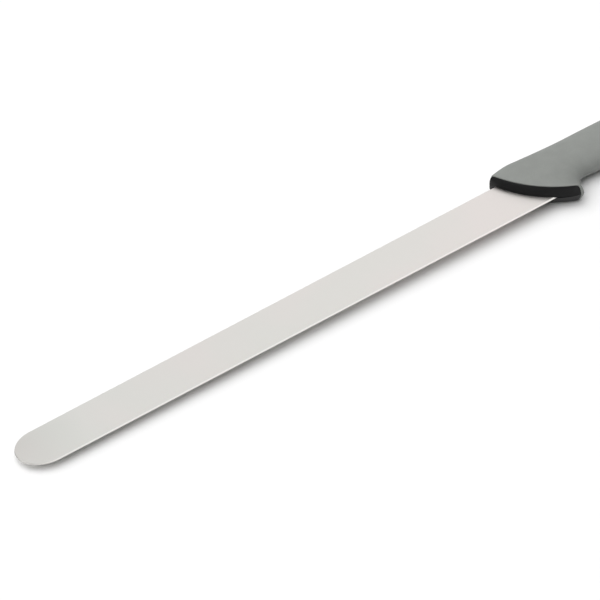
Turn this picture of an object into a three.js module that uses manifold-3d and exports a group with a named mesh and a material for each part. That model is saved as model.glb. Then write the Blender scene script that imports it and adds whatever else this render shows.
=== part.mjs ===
// Ham knife: a long straight slicing blade with a round tip, in a handle moulded in two plastics.
// Millimetres. The knife lies on its side on the plane z = 0, with the tip towards -X, the handle
// towards +X, the spine towards +Y and the cutting edge towards -Y.
// Its own frame, before it is laid down, has x = 0 at the collar, one blade length behind the tip,
// y = 0 on the blade's centre line and z = 0 on the blade's middle plane.

import * as THREE from 'three';
import { mergeVertices } from 'three/addons/utils/BufferGeometryUtils.js';
import Module from 'manifold-3d';

// Blade
const bladeLength = 300;
const bladeWidth = 25;
const tipLength = 15.5;
const tipWidth = 24.4;
const spineThickness = 2.0;
const tipThickness = 1.5;
const shoulderThickness = 0.8;
const edgeThickness = 0.1;
const sharpenedWidth = 0.8;
const taperStart = 20;
const tipFlat = 2.4;
const tipSteps = 10;

// Tang, hidden in the handle
const heelStation = 28;
const tangOverlap = 5;
const tangLength = 106;
const tangWidth = 13;
const tangHeight = 4.5;
const tangHoleRadius = 2.8;
const tangHoleStations = [46, 68, 90];
const tangArcSteps = 8;

// Collar: the front of the core. In plan its front is an arc about a point beyond the handle's back.
const collarArcRadius = 50;
const collarArcHeight = 28;
const collarSpineStation = 3.4;
const collarDepth = 4.9;
const collarBackDepth = 2.9;
const collarFlat = 0.3;
const collarStep = 0.3;
const collarEndStation = 34.3;
const collarEndBlend = 2.5;
const collarCorner = 0.9;
const collarHalfThickness = 4.4;
const guardChamfer = 0.12;
const guardRoundness = 1.3;

// Handle profile: stations are measured from x = 0, and heights and depths from the blade's centre line
const handleLength = 138;
const collarStation = -5;
const collarBackHeight = 17.4;
const shoulderStation = 18;
const shoulderBackHeight = 17.7;
const grooveBackHeight = 19.1;
const palmBackHeight = 18.7;
const buttBackHeight = 11;
const guardStation = 34;
const guardDepth = 18.8;
const guardFillet = 2.5;
const grooveStation = 45;
const grooveDepth = 7.5;
const palmStation = 92;
const palmDepth = 12.5;
const beakStation = 130;
const beakDepth = 17;

// Handle sections: they follow the collar's arc at the front and straighten out behind it
const straightenDistance = 75;
const shoulderDistance = 15;
const guardShoulderDistance = 24;
const shoulderHalfThickness = 6.4;
const palmHalfThickness = 6.9;
const buttHalfThickness = 6.3;
const buttRadius = 5.5;
const collarSquareness = 12;
const backSquareness = 2.2;
const bellySquareness = 2.1;
const guardRoundingDistance = 12;

// Moulding
const skinThickness = 1.8;
const clearance = 0.3;

// Facets
const noseSteps = 5;
const frontSteps = 26;
const rearSteps = 14;
const sectionSteps = 36;
const searchRounds = 24;
const restRounds = 6;

const wasm = await Module();
wasm.setup();

// Closed solid of a geometry, with shared corners merged and collapsed triangles left out
function toSolid(geometry) {
  geometry.deleteAttribute('normal');
  geometry.deleteAttribute('uv');
  const merged = mergeVertices(geometry);
  const corners = merged.getIndex().array;
  const triangles = [];
  for (let i = 0; i < corners.length; i += 3) {
    const [a, b, c] = corners.slice(i, i + 3);
    if (a !== b && b !== c && c !== a) {
      triangles.push(a, b, c);
    }
  }
  return new wasm.Manifold(new wasm.Mesh({
    numProp: 3,
    vertProperties: new Float32Array(merged.getAttribute('position').array),
    triVerts: new Uint32Array(triangles),
  }));
}

function toGeometry(solid) {
  const mesh = solid.getMesh();
  const geometry = new THREE.BufferGeometry();
  geometry.setAttribute('position', new THREE.BufferAttribute(mesh.vertProperties, 3));
  geometry.setIndex(new THREE.BufferAttribute(mesh.triVerts, 1));
  geometry.computeVertexNormals();
  return geometry;
}

// Closed skin over a row of rings, each a list of points that runs the same way round +X. The second
// half of a ring mirrors its first half, so an end is closed straight across from half to half.
function loft(rings) {
  const count = rings[0].length;
  const points = rings.flat();
  const corners = [];
  for (let i = 0; i + 1 < rings.length; i += 1) {
    for (let j = 0; j < count; j += 1) {
      const a = i * count + j;
      const b = i * count + (j + 1) % count;
      corners.push(a, b, a + count, b, b + count, a + count);
    }
  }
  const last = points.length - count;
  for (let j = 0; j + 1 < count / 2; j += 1) {
    const across = count - 1 - j;
    corners.push(j, across, j + 1, j + 1, across, across - 1);
    corners.push(last + j, last + j + 1, last + across, last + j + 1, last + across - 1, last + across);
  }
  const geometry = new THREE.BufferGeometry().setFromPoints(points);
  geometry.setIndex(corners);
  return toSolid(geometry);
}

// Height that passes smoothly through a row of [station, height] pairs, level at each of them
function blend(x, pairs) {
  let height = pairs[0][1];
  for (let i = 1; i < pairs.length; i += 1) {
    const share = THREE.MathUtils.smoothstep(x, pairs[i - 1][0], pairs[i][0]);
    height += (pairs[i][1] - pairs[i - 1][1]) * share;
  }
  return height;
}

// Blade and tang, in one piece of steel, grown on every side by a gap to cut its seat in the core
function bladeSolid(grow) {
  const halfWidth = bladeWidth / 2;
  const halfThickness = (x, y) => {
    const thinned = THREE.MathUtils.mapLinear(x, -taperStart, -bladeLength, spineThickness, tipThickness);
    const spine = Math.min(spineThickness, thinned);
    const side = THREE.MathUtils.mapLinear(
      y, sharpenedWidth - halfWidth, halfWidth, shoulderThickness, spine,
    );
    return side / 2 + grow;
  };
  // The sharpened edge fades out round the tip
  const ring = (x, reach) => {
    const sharpened = THREE.MathUtils.smoothstep(x, -bladeLength, tipLength - bladeLength);
    const shoulder = sharpenedWidth * sharpened - reach;
    const top = halfThickness(x, reach);
    const side = halfThickness(x, shoulder);
    const edge = THREE.MathUtils.lerp(side, edgeThickness / 2 + grow, sharpened);
    const outline = [
      [reach + grow, top], [shoulder, side], [-reach - grow, edge],
      [-reach - grow, -edge], [shoulder, -side], [reach + grow, -top],
    ];
    return outline.map(([y, z]) => new THREE.Vector3(x, y, z));
  };
  const rings = [ring(-bladeLength - grow, tipFlat / 2)];
  for (let i = tipSteps - 1; i >= 0; i -= 1) {
    const angle = Math.PI / 2 * i / tipSteps;
    rings.push(ring(tipLength * (1 - Math.sin(angle)) - bladeLength, tipWidth / 2 * Math.cos(angle)));
  }
  rings.push(ring(-taperStart, halfWidth), ring(heelStation + grow, halfWidth));

  const tangHalf = tangWidth / 2 + grow;
  const tangStart = heelStation - tangOverlap;
  const outline = new THREE.Shape();
  outline.moveTo(tangStart, tangHeight + tangHalf);
  outline.lineTo(tangStart, tangHeight - tangHalf);
  outline.lineTo(tangLength - tangWidth / 2, tangHeight - tangHalf);
  outline.absarc(tangLength - tangWidth / 2, tangHeight, tangHalf, -Math.PI / 2, Math.PI / 2, false);
  outline.closePath();
  for (const station of tangHoleStations) {
    const hole = new THREE.Path();
    hole.absarc(station, tangHeight, tangHoleRadius - grow, 0, 2 * Math.PI, true);
    outline.holes.push(hole);
  }
  const depth = spineThickness + 2 * grow;
  const tang = new THREE.ExtrudeGeometry(outline, {
    depth, bevelEnabled: false, curveSegments: tangArcSteps,
  });
  tang.translate(0, 0, -depth / 2);
  return loft(rings).add(toSolid(tang));
}

const collarArcReach = Math.sqrt(collarArcRadius ** 2 - (collarArcHeight - bladeWidth / 2) ** 2);
const collarArcStation = collarSpineStation + collarArcReach;

function frontStation(y) {
  return collarArcStation - Math.sqrt(Math.max(0, collarArcRadius ** 2 - (y - collarArcHeight) ** 2));
}

function backLine(x) {
  return blend(x, [
    [collarStation, collarBackHeight], [shoulderStation, shoulderBackHeight],
    [grooveStation, grooveBackHeight], [palmStation, palmBackHeight], [handleLength, buttBackHeight],
  ]);
}

// The guard stands out from the belly, with a hollow fillet behind it for the finger
function bellyLine(x) {
  const behind = THREE.MathUtils.clamp((x - guardStation) / (grooveStation - guardStation), 0, 1);
  const guard = (guardDepth - grooveDepth) * (1 - behind) ** guardFillet;
  const belly = [[grooveStation, -grooveDepth], [palmStation, -palmDepth], [beakStation, -beakDepth]];
  return blend(x, belly) - guard;
}

// Share of the way from the guard's end up to the handle's back
function backShare(y) {
  return THREE.MathUtils.clamp((y + guardDepth) / (shoulderBackHeight + guardDepth), 0, 1);
}

// Share of its full size that the collar has opened to: straight as a bevel at the guard's end, and
// rounder towards the back
function noseOpening(distance, share) {
  const ahead = Math.max(0, 1 - distance / collarDepth);
  const power = 1 + share;
  return (1 - ahead ** power) ** (1 / power);
}

function handleHalfThickness(distance, y) {
  const shoulder = THREE.MathUtils.lerp(guardShoulderDistance, shoulderDistance, backShare(y));
  return blend(distance, [
    [0, collarHalfThickness], [shoulder, shoulderHalfThickness], [palmStation, palmHalfThickness],
    [handleLength, buttHalfThickness],
  ]);
}

// Station at a height on the section that lies at a distance behind the collar's front. The collar is
// less deep towards the back, and its depth runs out at the guard's end, so there the sections behind
// it are drawn forward.
function sectionStation(distance, y) {
  const bend = 1 - THREE.MathUtils.smoothstep(distance, 0, straightenDistance);
  const past = frontStation(y) + collarDepth - collarEndStation;
  const overrun = (past + Math.hypot(past, collarEndBlend)) / 2;
  const lap = (collarDepth - collarBackDepth) * backShare(y) + overrun;
  const released = THREE.MathUtils.smoothstep(distance, collarDepth, guardRoundingDistance);
  const drawn = Math.min(1, distance / collarDepth) - released;
  return distance + bend * frontStation(y) - lap * drawn;
}

// Height of the back or belly line where a section at this distance behind the collar meets it
function meetLine(line, distance) {
  let low = distance - collarArcRadius;
  let high = distance + collarArcRadius;
  for (let i = 0; i < searchRounds; i += 1) {
    const x = (low + high) / 2;
    if (x < sectionStation(distance, line(x))) {
      low = x;
    } else {
      high = x;
    }
  }
  return line(low);
}

// Outline of the handle at a distance behind the collar's front, drawn in all round by an inset
function handleRing(distance, inset) {
  const end = handleLength - inset;
  const endRadius = buttRadius - inset;
  const endTurn = Math.min(1, Math.max(0, (distance - end) / endRadius + 1));
  const endShrink = inset + endRadius * (1 - Math.sqrt(1 - endTurn ** 2));
  const cornerShrink = collarCorner * (1 - noseOpening(distance, 1));
  const top = meetLine(backLine, distance) - endShrink - cornerShrink;
  const bottom = meetLine(bellyLine, distance) + endShrink;
  const topSquareness = blend(distance, [[0, collarSquareness], [grooveStation, backSquareness]]);
  const rounding = blend(distance, [[collarDepth, 0], [guardRoundingDistance, 1]]);
  const ring = [];
  for (let j = 0; j < sectionSteps; j += 1) {
    const angle = 2 * Math.PI * (j + 0.5) / sectionSteps;
    const across = Math.cos(angle);
    const squareness = across > 0 ? topSquareness : bellySquareness;
    const rounded = (1 - Math.abs(across) ** squareness) ** (1 / squareness);
    const bevel = Math.max(0, 1 - (1 + across) / guardChamfer);
    const bevelled = (1 - bevel ** guardRoundness) ** (1 / guardRoundness);
    const through = across > 0 ? rounded : THREE.MathUtils.lerp(bevelled, rounded, rounding);
    const y = (top + bottom) / 2 + (top - bottom) / 2 * across;
    const full = handleHalfThickness(distance, y) - endShrink;
    const nose = noseOpening(distance, backShare(y));
    const half = THREE.MathUtils.lerp(Math.min(collarFlat, full), full, nose);
    const z = Math.sign(Math.sin(angle)) * half * through;
    ring.push(new THREE.Vector3(sectionStation(distance, y), y, z));
  }
  return ring;
}

// Handle from one distance behind the collar's front to its butt, drawn in all round by an inset
function handleSolid(start, inset) {
  const rings = [];
  for (let i = 0; i < frontSteps; i += 1) {
    rings.push(handleRing(THREE.MathUtils.lerp(start, straightenDistance, i / frontSteps), inset));
  }
  const end = handleLength - inset;
  for (let i = 0; i <= rearSteps; i += 1) {
    const share = Math.sin(Math.PI / 2 * i / rearSteps);
    rings.push(handleRing(THREE.MathUtils.lerp(straightenDistance, end, share), inset));
  }
  return loft(rings);
}

function collarSolid() {
  const rings = [];
  for (let i = 0; i <= noseSteps; i += 1) {
    rings.push(handleRing(collarDepth * i / noseSteps, collarStep));
  }
  return loft(rings);
}

const filling = handleSolid(collarDepth / 2, skinThickness + clearance);
const cavity = handleSolid(collarDepth, skinThickness);

const pieces = {
  blade: {
    solid: bladeSolid(0),
    finish: { color: 0xdad8d4, roughness: 0.32, metalness: 1 },
  },
  handle_core: {
    solid: collarSolid().add(filling).subtract(bladeSolid(clearance)),
    finish: { color: 0x222222, roughness: 0.5, metalness: 0 },
  },
  grip: {
    solid: handleSolid(collarDepth + clearance, 0).subtract(cavity),
    finish: { color: 0x92958f, roughness: 0.65, metalness: 0 },
  },
};

const straight = new THREE.Group();
for (const [name, { solid, finish }] of Object.entries(pieces)) {
  const mesh = new THREE.Mesh(toGeometry(solid), new THREE.MeshStandardMaterial(finish));
  mesh.name = name;
  straight.add(mesh);
}

// Point of the grip, between two stations, that comes down lowest when the knife slopes up towards
// its butt
function lowestPoint(start, end, slope) {
  const points = straight.getObjectByName('grip').geometry.getAttribute('position');
  const lowest = new THREE.Vector3(0, 0, Infinity);
  for (let i = 0; i < points.count; i += 1) {
    const x = points.getX(i);
    if (x > start && x < end && points.getZ(i) + slope * x < lowest.z + slope * lowest.x) {
      lowest.fromBufferAttribute(points, i);
    }
  }
  return lowest;
}

// The knife lies on the side of its grip, on the shoulder behind the collar and on the palm swell,
// so both come down equally far, and the blade is clear of the surface
let restSlope = 0;
for (let round = 0; round < restRounds; round += 1) {
  const shoulder = lowestPoint(collarStation, grooveStation, restSlope);
  const palm = lowestPoint(grooveStation, handleLength, restSlope);
  restSlope = (shoulder.z - palm.z) / (palm.x - shoulder.x);
}
straight.rotation.y = -Math.atan(restSlope);

// The origin is under the middle of the knife, on the surface that it lies on
const hamKnife = new THREE.Group();
hamKnife.name = 'ham_knife';
hamKnife.add(straight);
hamKnife.updateMatrixWorld(true);
const box = new THREE.Box3().setFromObject(straight, true);
const middle = box.getCenter(new THREE.Vector3());
straight.position.set(-middle.x, -middle.y, -box.min.z);

export default hamKnife;
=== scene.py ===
# Ham knife: a long slicing blade with a round tip, fixed in a handle moulded in two plastics.
# Metres, in the frame of the solids: the knife lies on its side on z = 0, with its tip towards -X,
# its handle towards +X and its spine towards +Y.
import math

import bmesh
import bpy
from mathutils import Matrix, Quaternion, Vector


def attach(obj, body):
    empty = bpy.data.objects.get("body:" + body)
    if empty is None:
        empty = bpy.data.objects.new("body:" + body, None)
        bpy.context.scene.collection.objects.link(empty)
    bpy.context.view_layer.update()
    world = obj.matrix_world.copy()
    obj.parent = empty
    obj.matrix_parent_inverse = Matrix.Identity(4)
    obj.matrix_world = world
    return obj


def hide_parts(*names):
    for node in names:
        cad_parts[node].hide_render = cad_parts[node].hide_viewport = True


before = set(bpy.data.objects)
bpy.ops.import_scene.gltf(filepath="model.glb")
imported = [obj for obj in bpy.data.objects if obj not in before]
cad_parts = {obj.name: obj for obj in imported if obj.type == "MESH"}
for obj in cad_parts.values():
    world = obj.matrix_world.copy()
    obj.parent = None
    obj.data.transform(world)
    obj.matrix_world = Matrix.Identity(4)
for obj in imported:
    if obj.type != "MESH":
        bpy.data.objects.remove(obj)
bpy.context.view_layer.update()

# Blade: one strip of stainless steel, stamped out, then ground thinner towards its edge and its tip
# and sharpened along one side. Its sides have a fine satin grind across their width. A flat tang with
# lock holes runs on from it inside the handle.
blade_length = 0.300
blade_width = 0.025
tip_length = 0.0155
tip_width = 0.0244
spine_thickness = 0.0020
tip_thickness = 0.0015
shoulder_thickness = 0.0008
edge_thickness = 0.0001
sharpened_width = 0.0008
taper_start = 0.020
spine_rounding = 0.0002
spine_rounding_steps = 3
tip_rings = 36
heel_station = 0.028
tang_overlap = 0.005
tang_length = 0.106
tang_width = 0.013
tang_height = 0.0045
tang_hole_radius = 0.0028
tang_hole_stations = (0.046, 0.068, 0.090)
tang_arc_steps = 24

# The knife lies on the side of its grip, with the blade clear of the surface and its tip the lower
# end. The pieces are shaped straight, with x = 0 one blade length behind the tip, then laid down.
resting_slope = math.radians(0.4468)
collar_point = Vector((0.080997, -0.000159, 0.006234))
laid_down = Matrix.Translation(collar_point) @ Matrix.Rotation(-resting_slope, 4, "Y")


def blade_half_thickness(x, y):
    tapered = max(0.0, -taper_start - x) / (blade_length - taper_start)
    at_spine = spine_thickness - (spine_thickness - tip_thickness) * tapered
    below_spine = (blade_width / 2 - y) / (blade_width - sharpened_width)
    return (at_spine + (shoulder_thickness - at_spine) * below_spine) / 2


def blade_section(x, reach):
    """Corners of the blade's section at a station. Its sharpened edge fades out round the tip."""
    along_tip = min(1.0, (x + blade_length) / tip_length)
    sharpened = along_tip * along_tip * (3 - 2 * along_tip)
    shoulder = sharpened_width * sharpened - reach
    side = blade_half_thickness(x, shoulder)
    upper_half = [
        Vector((x, reach, blade_half_thickness(x, reach))),
        Vector((x, shoulder, side)),
        Vector((x, -reach, side + (edge_thickness / 2 - side) * sharpened)),
    ]
    lower_half = [Vector((x, point.y, -point.z)) for point in reversed(upper_half)]
    return upper_half + lower_half


def draw_out(mesh, ring, place):
    """Draws a tube's open end out to a new ring, with each corner put where its own mark says."""
    mark = mesh.verts.layers.float["mark"]
    drawn = bmesh.ops.extrude_edge_only(mesh, edges=ring)["geom"]
    for corner in drawn:
        if isinstance(corner, bmesh.types.BMVert):
            corner.co = place(corner[mark])
    return [edge for edge in drawn if isinstance(edge, bmesh.types.BMEdge)]


def finish_piece(name, mesh, sharp_angle):
    """Puts a finished mesh where the knife lies, as a piece of the object."""
    bmesh.ops.transform(mesh, matrix=laid_down, verts=mesh.verts)
    bmesh.ops.recalc_face_normals(mesh, faces=mesh.faces)
    data = bpy.data.meshes.new(name)
    mesh.to_mesh(data)
    mesh.free()
    data.shade_smooth()
    data.set_sharp_from_angle(angle=sharp_angle)
    piece = bpy.data.objects.new(name, data)
    bpy.context.scene.collection.objects.link(piece)
    return piece


def join_solids(piece, tool, operation, sharp_angle):
    """Adds a solid to a piece, or takes it out of the piece, and keeps the result as its mesh."""
    cut = piece.modifiers.new("joined", "BOOLEAN")
    cut.operation = operation
    cut.solver = "EXACT"
    cut.object = tool
    evaluated = piece.evaluated_get(bpy.context.evaluated_depsgraph_get())
    joined = bpy.data.meshes.new_from_object(evaluated)
    piece.modifiers.clear()
    piece.data = joined
    joined.shade_smooth()
    joined.set_sharp_from_angle(angle=sharp_angle)


blade_sharp_angle = math.radians(12)
blade_mesh = bmesh.new()
blade_mark = blade_mesh.verts.layers.float.new("mark")
half_width = blade_width / 2
stations = []
for step in range(tip_rings):
    angle = math.pi / 2 * (1 - (step + 0.5) / (tip_rings - 0.5))
    tip_station = tip_length * (1 - math.sin(angle)) - blade_length
    stations.append((tip_station, tip_width / 2 * math.cos(angle)))
stations += [(-taper_start, half_width), (heel_station, half_width)]
corners = [blade_mesh.verts.new(point) for point in blade_section(*stations[0])]
for number, corner in enumerate(corners):
    corner[blade_mark] = number
tip_ring = [
    blade_mesh.edges.new((corners[number - 1], corners[number])) for number in range(len(corners))
]
ring = tip_ring
for station in stations[1:]:
    section = blade_section(*station)
    ring = draw_out(blade_mesh, ring, lambda mark: section[round(mark)])
bmesh.ops.edgeloop_fill(blade_mesh, edges=tip_ring)
bmesh.ops.edgeloop_fill(blade_mesh, edges=ring)
spine_corners = (0, len(corners) - 1)
spine_edges = [
    edge for edge in blade_mesh.edges
    if all(round(corner[blade_mark]) in spine_corners for corner in edge.verts)
    and edge.verts[0][blade_mark] == edge.verts[1][blade_mark]
]
bmesh.ops.bevel(
    blade_mesh, geom=spine_edges, offset=spine_rounding, offset_type="OFFSET", affect="EDGES",
    segments=spine_rounding_steps, profile=0.5, material=-1,
)
blade = finish_piece("blade_steel", blade_mesh, blade_sharp_angle)

tang_mesh = bmesh.new()
tang_end = tang_length - tang_width / 2
tang_start = heel_station - tang_overlap
tang_back = tang_height + tang_width / 2
tang_front = tang_height - tang_width / 2
tang_underside = -spine_thickness / 2
tang_corners = [
    tang_mesh.verts.new((tang_end, tang_back, tang_underside)),
    tang_mesh.verts.new((tang_start, tang_back, tang_underside)),
    tang_mesh.verts.new((tang_start, tang_front, tang_underside)),
    tang_mesh.verts.new((tang_end, tang_front, tang_underside)),
]
for first, second in zip(tang_corners, tang_corners[1:]):
    tang_mesh.edges.new((first, second))
bmesh.ops.spin(
    tang_mesh, geom=tang_corners[-1:], cent=(tang_end, tang_height, tang_underside),
    axis=(0, 0, 1), angle=math.pi, steps=tang_arc_steps // 2,
)
bmesh.ops.remove_doubles(tang_mesh, verts=tang_mesh.verts, dist=edge_thickness)
for station in tang_hole_stations:
    bmesh.ops.create_circle(
        tang_mesh, segments=tang_arc_steps, radius=tang_hole_radius,
        matrix=Matrix.Translation((station, tang_height, tang_underside)),
    )
tang_plan = bmesh.ops.triangle_fill(tang_mesh, edges=tang_mesh.edges, use_beauty=True)["geom"]
tang_faces = [face for face in tang_plan if isinstance(face, bmesh.types.BMFace)]
tang_top = bmesh.ops.extrude_face_region(tang_mesh, geom=tang_faces, use_keep_orig=True)["geom"]
bmesh.ops.translate(
    tang_mesh, vec=(0, 0, spine_thickness),
    verts=[corner for corner in tang_top if isinstance(corner, bmesh.types.BMVert)],
)
tang = finish_piece("tang", tang_mesh, blade_sharp_angle)
join_solids(blade, tang, "UNION", blade_sharp_angle)
bpy.data.objects.remove(tang)


def add_node(tree, kind, links=(), **values):
    """New shader node with its properties and plain input values, and its inputs linked."""
    node = tree.nodes.new(kind)
    for name, value in values.items():
        if hasattr(node, name):
            setattr(node, name, value)
        else:
            node.inputs[name.replace("_", " ").title()].default_value = value
    for name, socket in links:
        tree.links.new(socket, node.inputs[name])
    return node


def new_material(name):
    """New material with its Principled shader."""
    material = bpy.data.materials.new(name)
    material.use_nodes = True
    return material, material.node_tree, material.node_tree.nodes["Principled BSDF"]


steel_colour = (0.885, 0.870, 0.838, 1)
steel_warm_colour = (0.910, 0.868, 0.844, 1)
steel_patch_scale = 22
steel_patch_range = (0.42, 0.68)
# Painted shade along the blade: these tones darken the steel's colour most near the tip's spine corner
# and less with distance from it, so it is lightest near the handle. They stand in for the studio light
# falling off along the blade, and the tip's tone is also slightly green.
tip_painted_shade = (0.84, 0.86, 0.85, 1)
tip_tone_share = 0.02
middle_painted_shade = (0.945, 0.962, 0.955, 1)
middle_tone_share = 0.14
handle_painted_shade = (1, 0.988, 0.985, 1)
grind_scale = (2600, 45, 45)
grind_depth = 0.000004
steel_roughness = (0.27, 0.36)

satin_steel, tree, shader = new_material("satin_steel")
place = add_node(tree, "ShaderNodeTexCoord").outputs["Object"]
patches = add_node(tree, "ShaderNodeTexNoise", [("Vector", place)], scale=steel_patch_scale, detail=1)
tint = add_node(tree, "ShaderNodeValToRGB", [("Fac", patches.outputs["Fac"])])
tint.color_ramp.elements[0].position = steel_patch_range[0]
tint.color_ramp.elements[0].color = steel_colour
tint.color_ramp.elements[1].position = steel_patch_range[1]
tint.color_ramp.elements[1].color = steel_warm_colour
# Painted shade: the distance from the tip's spine corner picks the tone that darkens the steel.
from_tip = add_node(tree, "ShaderNodeVectorMath", [(0, place)], operation="DISTANCE")
from_tip.inputs[1].default_value = laid_down @ Vector((-blade_length, blade_width / 2, 0))
along = add_node(tree, "ShaderNodeMapRange", [("Value", from_tip.outputs["Value"])])
along.inputs["From Max"].default_value = blade_length
painted_shade_ramp = add_node(tree, "ShaderNodeValToRGB", [("Fac", along.outputs["Result"])])
painted_shade_ramp.color_ramp.elements[0].position = tip_tone_share
painted_shade_ramp.color_ramp.elements[0].color = tip_painted_shade
painted_shade_ramp.color_ramp.elements[1].color = handle_painted_shade
painted_shade_ramp.color_ramp.elements.new(middle_tone_share).color = middle_painted_shade
steel_with_painted_shade = add_node(
    tree, "ShaderNodeVectorMath",
    [(0, tint.outputs["Color"]), (1, painted_shade_ramp.outputs["Color"])], operation="MULTIPLY",
)
lines = add_node(tree, "ShaderNodeMapping", [("Vector", place)], scale=grind_scale)
grind = add_node(tree, "ShaderNodeTexNoise", [("Vector", lines.outputs["Vector"])], scale=1, detail=2)
sheen = add_node(tree, "ShaderNodeMapRange", [("Value", grind.outputs["Fac"])])
sheen.inputs["To Min"].default_value = steel_roughness[0]
sheen.inputs["To Max"].default_value = steel_roughness[1]
ridges = add_node(tree, "ShaderNodeBump", [("Height", grind.outputs["Fac"])], distance=grind_depth)
shader.inputs["Metallic"].default_value = 1
tree.links.new(steel_with_painted_shade.outputs["Vector"], shader.inputs["Base Color"])
tree.links.new(sheen.outputs["Result"], shader.inputs["Roughness"])
tree.links.new(ridges.outputs["Normal"], shader.inputs["Normal"])
blade.data.materials.append(satin_steel)

# Walls of the blade: the upright faces keep the duller, rougher grained surface of the stamping, and take
# a darker copy of the steel's colour as painted shade, standing in for the dim reflection they show.
wall_painted_shade_dark = (0.60, 0.59, 0.57, 1)
wall_painted_shade_bright = (0.76, 0.75, 0.725, 1)
stamped_grain_scale = 900
stamped_grain_range = (0.3, 0.7)
stamped_roughness = (0.45, 0.60)
upright_limit = 0.5

wall_steel_with_painted_shade, tree, shader = new_material("wall_steel_with_painted_shade")
place = add_node(tree, "ShaderNodeTexCoord").outputs["Object"]
grain = add_node(tree, "ShaderNodeTexNoise", [("Vector", place)], scale=stamped_grain_scale, detail=2)
sheen = add_node(tree, "ShaderNodeMapRange", [("Value", grain.outputs["Fac"])])
sheen.inputs["To Min"].default_value = stamped_roughness[0]
sheen.inputs["To Max"].default_value = stamped_roughness[1]
# Painted shade: the grain's tint runs between two darkened copies of the steel's colour.
tint = add_node(tree, "ShaderNodeValToRGB", [("Fac", grain.outputs["Fac"])])
tint.color_ramp.elements[0].position = stamped_grain_range[0]
tint.color_ramp.elements[0].color = wall_painted_shade_dark
tint.color_ramp.elements[1].position = stamped_grain_range[1]
tint.color_ramp.elements[1].color = wall_painted_shade_bright
shader.inputs["Metallic"].default_value = 1
tree.links.new(tint.outputs["Color"], shader.inputs["Base Color"])
tree.links.new(sheen.outputs["Result"], shader.inputs["Roughness"])
blade.data.materials.append(wall_steel_with_painted_shade)
for face in blade.data.polygons:
    if abs(face.normal.z) < upright_limit:
        face.material_index = 1
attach(blade, "root")
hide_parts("blade")

# Handle core: hard black plastic moulded over the tang and through its lock holes. Its front end is
# the collar across the blade, bevelled from both sides to a ridge, and the rest of it fills the grip.
collar_arc_radius = 0.050
collar_arc_height = 0.028
collar_spine_station = 0.0034
collar_depth = 0.0049
collar_back_depth = 0.0020
collar_flat = 0.0003
collar_step = 0.0003
collar_end_station = 0.0334
collar_end_blend = 0.0006
collar_corner = 0.0009
collar_half_thickness = 0.0044
collar_rear_rounding = 0.0002
guard_chamfer = 0.12
guard_roundness = 1.3
handle_length = 0.138
collar_station = -0.005
collar_back_height = 0.0164
shoulder_station = 0.017
shoulder_back_height = 0.0186
crest_station = 0.0565
crest_back_height = 0.01915
palm_back_height = 0.0187
butt_back_height = 0.011
guard_station = 0.0348
guard_depth = 0.0185
guard_fillet = 2.5
groove_station = 0.045
groove_depth = 0.0075
palm_station = 0.092
palm_depth = 0.0125
beak_station = 0.130
beak_depth = 0.017
straighten_distance = 0.075
shoulder_distance = 0.0175
guard_shoulder_distance = 0.024
shoulder_half_thickness = 0.0064
palm_half_thickness = 0.0069
butt_half_thickness = 0.0063
butt_radius = 0.0055
collar_squareness = 12
back_squareness = 2.2
belly_squareness = 2.1
guard_rounding_distance = 0.012
rounding_distance = 0.055
skin_thickness = 0.0018
clearance = 0.0003
section_steps = 128
nose_steps = 12
filling_steps = 40
search_rounds = 30

collar_arc_reach = math.sqrt(collar_arc_radius**2 - (collar_arc_height - blade_width / 2) ** 2)
collar_arc_station = collar_spine_station + collar_arc_reach


def front_station(y):
    reach = math.sqrt(max(0.0, collar_arc_radius**2 - (y - collar_arc_height) ** 2))
    return collar_arc_station - reach


def blend(x, pairs):
    """Height that passes smoothly through a row of (station, height) pairs, level at each of them."""
    height = pairs[0][1]
    for (low, before), (high, after) in zip(pairs, pairs[1:]):
        share = min(1.0, max(0.0, (x - low) / (high - low)))
        height += (after - before) * share * share * (3 - 2 * share)
    return height


def back_line(x):
    return blend(x, [
        (collar_station, collar_back_height), (shoulder_station, shoulder_back_height),
        (crest_station, crest_back_height), (palm_station, palm_back_height),
        (handle_length, butt_back_height),
    ])


def belly_line(x):
    """Depth of the belly, with the guard that stands out from it and the hollow fillet behind that."""
    behind = min(1.0, max(0.0, (x - guard_station) / (groove_station - guard_station)))
    guard = (guard_depth - groove_depth) * (1 - behind) ** guard_fillet
    belly = [(groove_station, -groove_depth), (palm_station, -palm_depth), (beak_station, -beak_depth)]
    return blend(x, belly) - guard


def back_share(y):
    return min(1.0, max(0.0, (y + guard_depth) / (shoulder_back_height + guard_depth)))


def nose_opening(distance, share):
    """Share of its full size that the collar has opened to, straight at the guard, round at the back."""
    power = 1 + share
    return (1 - max(0.0, 1 - distance / collar_depth) ** power) ** (1 / power)


def handle_half_thickness(distance, y):
    """Half thickness, which grows steeply behind the collar and evens out at the shoulder."""
    shoulder = guard_shoulder_distance + (shoulder_distance - guard_shoulder_distance) * back_share(y)
    before = max(0.0, 1 - distance / shoulder)
    behind = blend(distance, [
        (shoulder, shoulder_half_thickness), (palm_station, palm_half_thickness),
        (handle_length, butt_half_thickness),
    ])
    return behind - (shoulder_half_thickness - collar_half_thickness) * before**2


def section_station(distance, y):
    """Station at a height on the section that lies at a distance behind the collar's front."""
    bend = 1 - blend(distance, [(0, 0), (straighten_distance, 1)])
    past = front_station(y) + collar_depth - collar_end_station
    overrun = (past + math.hypot(past, collar_end_blend)) / 2
    lap = (collar_depth - collar_back_depth) * back_share(y) + overrun
    released = blend(distance, [(collar_depth, 0), (guard_rounding_distance, 1)])
    drawn = min(1.0, distance / collar_depth) - released
    return distance + bend * front_station(y) - lap * drawn


def meet_line(line, distance):
    """Height of the back or belly line where a section at this distance behind the collar meets it."""
    low = distance - collar_arc_radius
    high = distance + collar_arc_radius
    for _ in range(search_rounds):
        x = (low + high) / 2
        if x < section_station(distance, line(x)):
            low = x
        else:
            high = x
    return line(low)


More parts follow.
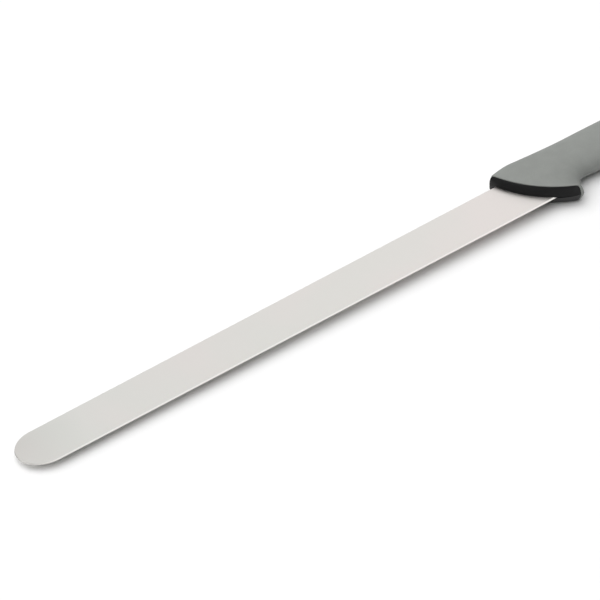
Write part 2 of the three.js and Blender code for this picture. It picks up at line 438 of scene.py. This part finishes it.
def handle_ring(distance, inset):
    """Outline of the handle at a distance behind the collar's front, drawn in all round by an inset."""
    end_radius = butt_radius - inset
    end_turn = min(1.0, max(0.0, (distance - handle_length + inset) / end_radius + 1))
    end_shrink = inset + end_radius * (1 - math.sqrt(1 - end_turn**2))
    corner_shrink = collar_corner * (1 - nose_opening(distance, 1))
    top = meet_line(back_line, distance) - end_shrink - corner_shrink
    bottom = meet_line(belly_line, distance) + end_shrink
    top_squareness = 1 / blend(
        distance, [(0, 1 / collar_squareness), (rounding_distance, 1 / back_squareness)]
    )
    rounding = blend(distance, [(collar_depth, 0), (guard_rounding_distance, 1)])

    def place(angle):
        across = math.cos(angle)
        squareness = top_squareness if across > 0 else belly_squareness
        through = (1 - abs(across) ** squareness) ** (1 / squareness)
        if across < 0:
            bevel = max(0.0, 1 - (1 + across) / guard_chamfer)
            bevelled = (1 - bevel**guard_roundness) ** (1 / guard_roundness)
            through = bevelled + (through - bevelled) * rounding
        y = (top + bottom) / 2 + (top - bottom) / 2 * across
        full = handle_half_thickness(distance, y) - end_shrink
        flat = min(collar_flat, full)
        half = flat + (full - flat) * nose_opening(distance, back_share(y))
        return Vector((section_station(distance, y), y, math.copysign(half * through, math.sin(angle))))

    return place


def handle_tube(rings):
    """Closed skin drawn through a row of handle outlines."""
    tube = bmesh.new()
    mark = tube.verts.layers.float.new("mark")
    corners = bmesh.ops.create_circle(tube, segments=section_steps, radius=1)["verts"]
    for number, corner in enumerate(corners):
        corner[mark] = 2 * math.pi * (number + 0.5) / section_steps
        corner.co = rings[0](corner[mark])
    first_ring = tube.edges[:]
    ring = first_ring
    for place in rings[1:]:
        ring = draw_out(tube, ring, place)
    bmesh.ops.edgeloop_fill(tube, edges=first_ring)
    bmesh.ops.edgeloop_fill(tube, edges=ring)
    return tube


filling_inset = skin_thickness + clearance
core_rings = []
for step in range(nose_steps + 1):
    core_rings.append(handle_ring(collar_depth * (step / nose_steps) ** 2, collar_step))
core_rings.append(handle_ring(collar_depth + collar_rear_rounding, collar_step + collar_rear_rounding))
filling_end = handle_length - filling_inset
for step in range(filling_steps + 1):
    share = math.sin(math.pi / 2 * step / filling_steps)
    core_rings.append(handle_ring(collar_depth + (filling_end - collar_depth) * share, filling_inset))
plastic_sharp_angle = math.radians(50)
core = finish_piece("handle_core_plastic", handle_tube(core_rings), plastic_sharp_angle)

# Moulded grain: the fine matt texture that a spark-eroded mould leaves on both plastics. It gives a
# mottled colour, a varied roughness and the height of its pits.
mottle_scale = 180
moulded_grain = bpy.data.node_groups.new("moulded_grain", "ShaderNodeTree")
for name, kind in (
    ("Colour", "NodeSocketColor"), ("Grain Scale", "NodeSocketFloat"), ("Contrast", "NodeSocketFloat"),
    ("Smoothest", "NodeSocketFloat"), ("Roughest", "NodeSocketFloat"),
):
    moulded_grain.interface.new_socket(name, in_out="INPUT", socket_type=kind)
for name, kind in (
    ("Colour", "NodeSocketColor"), ("Roughness", "NodeSocketFloat"), ("Height", "NodeSocketFloat"),
):
    moulded_grain.interface.new_socket(name, in_out="OUTPUT", socket_type=kind)
given = moulded_grain.nodes.new("NodeGroupInput").outputs
place = add_node(moulded_grain, "ShaderNodeTexCoord").outputs["Object"]
pits = add_node(
    moulded_grain, "ShaderNodeTexNoise", [("Vector", place), ("Scale", given["Grain Scale"])], detail=3
)
mottle = add_node(moulded_grain, "ShaderNodeTexNoise", [("Vector", place)], scale=mottle_scale, detail=3)
both = add_node(
    moulded_grain, "ShaderNodeMath",
    [(0, pits.outputs["Fac"]), (1, mottle.outputs["Fac"])], operation="ADD",
)
centred = add_node(moulded_grain, "ShaderNodeMath", [(0, both.outputs[0])], operation="SUBTRACT")
centred.inputs[1].default_value = 1
shade = add_node(
    moulded_grain, "ShaderNodeMath",
    [(0, centred.outputs[0]), (1, given["Contrast"])], operation="MULTIPLY_ADD",
)
shade.inputs[2].default_value = 1
toned = add_node(
    moulded_grain, "ShaderNodeVectorMath",
    [(0, given["Colour"]), (1, shade.outputs[0])], operation="MULTIPLY",
)
sheen = add_node(
    moulded_grain, "ShaderNodeMapRange",
    [("Value", pits.outputs["Fac"]), ("To Min", given["Smoothest"]), ("To Max", given["Roughest"])],
)
made = moulded_grain.nodes.new("NodeGroupOutput").inputs
moulded_grain.links.new(toned.outputs["Vector"], made["Colour"])
moulded_grain.links.new(sheen.outputs["Result"], made["Roughness"])
moulded_grain.links.new(pits.outputs["Fac"], made["Height"])


def moulded_plastic(name, colour, grain_scale, contrast, roughness, grain_depth):
    """Matt plastic with the mould's grain."""
    material, tree, shader = new_material(name)
    grain = add_node(tree, "ShaderNodeGroup", node_tree=moulded_grain)
    grain.inputs["Colour"].default_value = colour
    grain.inputs["Grain Scale"].default_value = grain_scale
    grain.inputs["Contrast"].default_value = contrast
    grain.inputs["Smoothest"].default_value = roughness[0]
    grain.inputs["Roughest"].default_value = roughness[1]
    bump = add_node(tree, "ShaderNodeBump", [("Height", grain.outputs["Height"])], distance=grain_depth)
    tree.links.new(grain.outputs["Colour"], shader.inputs["Base Color"])
    tree.links.new(grain.outputs["Roughness"], shader.inputs["Roughness"])
    tree.links.new(bump.outputs["Normal"], shader.inputs["Normal"])
    return material, shader


core_colour = (0.0105, 0.0105, 0.0108, 1)
core_grain_scale = 2400
core_contrast = 0.25
core_roughness = (0.38, 0.52)
core_grain_depth = 0.00001
core_specular = 0.35
core_plastic, shader = moulded_plastic(
    "core_plastic", core_colour, core_grain_scale, core_contrast, core_roughness, core_grain_depth
)
shader.inputs["Specular IOR Level"].default_value = core_specular
core.data.materials.append(core_plastic)
join_solids(core, blade, "DIFFERENCE", plastic_sharp_angle)
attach(core, "root")
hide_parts("handle_core")

# Grip: a skin of mid-grey textured plastic moulded over the core, with the finger guard, the finger
# groove, the palm swell and the beak at its butt. Its front rim is rounded over against the collar.
rim_rounding = 0.0003
rim_steps = 4
front_steps = 56
rear_steps = 40
inner_steps = 36

grip_start = collar_depth + clearance
cavity_end = handle_length - skin_thickness
grip_rings = []
for step in range(inner_steps + 1):
    share = math.sin(math.pi / 2 * (1 - step / inner_steps))
    grip_rings.append(handle_ring(grip_start + (cavity_end - grip_start) * share, skin_thickness))
for step in range(rim_steps):
    turn = math.pi / 2 * step / rim_steps
    grip_rings.append(handle_ring(
        grip_start + rim_rounding * (1 - math.cos(turn)), rim_rounding * (1 - math.sin(turn))
    ))
body_start = grip_start + rim_rounding
for step in range(front_steps):
    share = step / front_steps
    grip_rings.append(handle_ring(body_start + (straighten_distance - body_start) * share, 0))
for step in range(rear_steps + 1):
    share = math.sin(math.pi / 2 * step / rear_steps)
    grip_rings.append(handle_ring(straighten_distance + (handle_length - straighten_distance) * share, 0))
grip = finish_piece("grip_plastic", handle_tube(grip_rings), plastic_sharp_angle)
grip_colour = (0.256, 0.267, 0.253, 1)
grip_grain_scale = 1800
grip_contrast = 0.17
grip_roughness = (0.58, 0.74)
grip_grain_depth = 0.00003
grip_plastic, shader = moulded_plastic(
    "grip_plastic", grip_colour, grip_grain_scale, grip_contrast, grip_roughness, grip_grain_depth
)
grip.data.materials.append(grip_plastic)
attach(grip, "root")
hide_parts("grip")

# Floor: a plain white sheet under the knife, which takes its soft shadow. It runs on far past the
# picture on all sides.
floor_size = 60
floor_colour = (0.96, 0.96, 0.96, 1)
floor_mesh = bmesh.new()
bmesh.ops.create_grid(floor_mesh, x_segments=1, y_segments=1, size=floor_size / 2)
floor_data = bpy.data.meshes.new("floor")
floor_mesh.to_mesh(floor_data)
floor_mesh.free()
floor = bpy.data.objects.new("floor", floor_data)
bpy.context.scene.collection.objects.link(floor)
white_sheet, tree, shader = new_material("white_sheet")
shader.inputs["Base Color"].default_value = floor_colour
shader.inputs["Roughness"].default_value = 1
shader.inputs["Specular IOR Level"].default_value = 0
floor_data.materials.append(white_sheet)

# Light: a wide soft light high above the tip, slightly behind the knife, and white studio walls that
# fill the shadow and are weaker on the camera's side. The steel mirrors the bright side of the studio.
key_elevation = math.radians(62)
key_heading = math.radians(160)
key_spread = math.radians(95)
key_strength = 2.5
wall_strength = 0.58
wall_direction = (0, 0.5, 0.866)
wall_start = -0.2
mirrored_direction = (0.5, 0.05, 0.87)
mirrored_range = (0.4, 0.8)
mirrored_dark = (0.08, 0.08, 0.08, 1)
mirrored_bright = (0.86, 0.86, 0.86, 1)
mirrored_brightest = (1.05, 1.05, 1.05, 1)

key_data = bpy.data.lights.new("key", "SUN")
key_data.energy = key_strength
key_data.angle = key_spread
key = bpy.data.objects.new("key", key_data)
towards_key = Vector((
    math.cos(key_heading) * math.cos(key_elevation),
    math.sin(key_heading) * math.cos(key_elevation),
    math.sin(key_elevation),
))
key.rotation_mode = "QUATERNION"
key.rotation_quaternion = towards_key.to_track_quat("Z", "Y")
key.visible_glossy = False
bpy.context.scene.collection.objects.link(key)

world = bpy.data.worlds.new("studio")
bpy.context.scene.world = world
world.use_nodes = True
tree = world.node_tree
tree.nodes.clear()
rays = add_node(tree, "ShaderNodeLightPath").outputs
direction = add_node(tree, "ShaderNodeTexCoord").outputs["Generated"]
bright_side = add_node(tree, "ShaderNodeVectorMath", [(0, direction)], operation="DOT_PRODUCT")
bright_side.inputs[1].default_value = mirrored_direction
walls = add_node(tree, "ShaderNodeValToRGB", [("Fac", bright_side.outputs["Value"])])
walls.color_ramp.elements[0].position = mirrored_range[0]
walls.color_ramp.elements[0].color = mirrored_dark
walls.color_ramp.elements[1].position = mirrored_range[1]
walls.color_ramp.elements[1].color = mirrored_bright
walls.color_ramp.elements.new(1).color = mirrored_brightest
backdrop = add_node(tree, "ShaderNodeBackground")
backdrop.inputs["Color"].default_value = (1, 1, 1, 1)
mirrored = add_node(tree, "ShaderNodeBackground", [("Color", walls.outputs["Color"])])
raised_side = add_node(tree, "ShaderNodeVectorMath", [(0, direction)], operation="DOT_PRODUCT")
raised_side.inputs[1].default_value = wall_direction
soft_walls = add_node(tree, "ShaderNodeMapRange", [("Value", raised_side.outputs["Value"])])
soft_walls.inputs["From Min"].default_value = wall_start
soft_walls.inputs["To Max"].default_value = wall_strength
filling_light = add_node(tree, "ShaderNodeBackground", [("Strength", soft_walls.outputs["Result"])])
filling_light.inputs["Color"].default_value = (1, 1, 1, 1)
seen = add_node(tree, "ShaderNodeMixShader", [
    ("Fac", rays["Is Glossy Ray"]), (1, filling_light.outputs[0]), (2, mirrored.outputs[0]),
])
whole = add_node(tree, "ShaderNodeMixShader", [
    ("Fac", rays["Is Camera Ray"]), (1, seen.outputs[0]), (2, backdrop.outputs[0]),
])
add_node(tree, "ShaderNodeOutputWorld", [("Surface", whole.outputs[0])])

# Camera: a long lens, looking down on the knife from in front of its tip. The rear of the handle lies
# outside the picture.
camera_azimuth = math.radians(-37.7852)
camera_elevation = math.radians(39.4693)
camera_roll = math.radians(-1.0928)
camera_distance = 3.4942
camera_target = Vector((-0.043160, 0.007046, 0.005016))
camera_lens = 432

camera_data = bpy.data.cameras.new("camera")
camera_data.lens = camera_lens
camera = bpy.data.objects.new("camera", camera_data)
backwards = Vector((
    math.sin(camera_azimuth) * math.cos(camera_elevation),
    -math.cos(camera_azimuth) * math.cos(camera_elevation),
    math.sin(camera_elevation),
))
camera.location = camera_target + backwards * camera_distance
camera.rotation_mode = "QUATERNION"
camera.rotation_quaternion = backwards.to_track_quat("Z", "Y") @ Quaternion((0, 0, 1), camera_roll)
bpy.context.scene.collection.objects.link(camera)
bpy.context.scene.camera = camera
bpy.context.scene.view_settings.view_transform = "Standard"
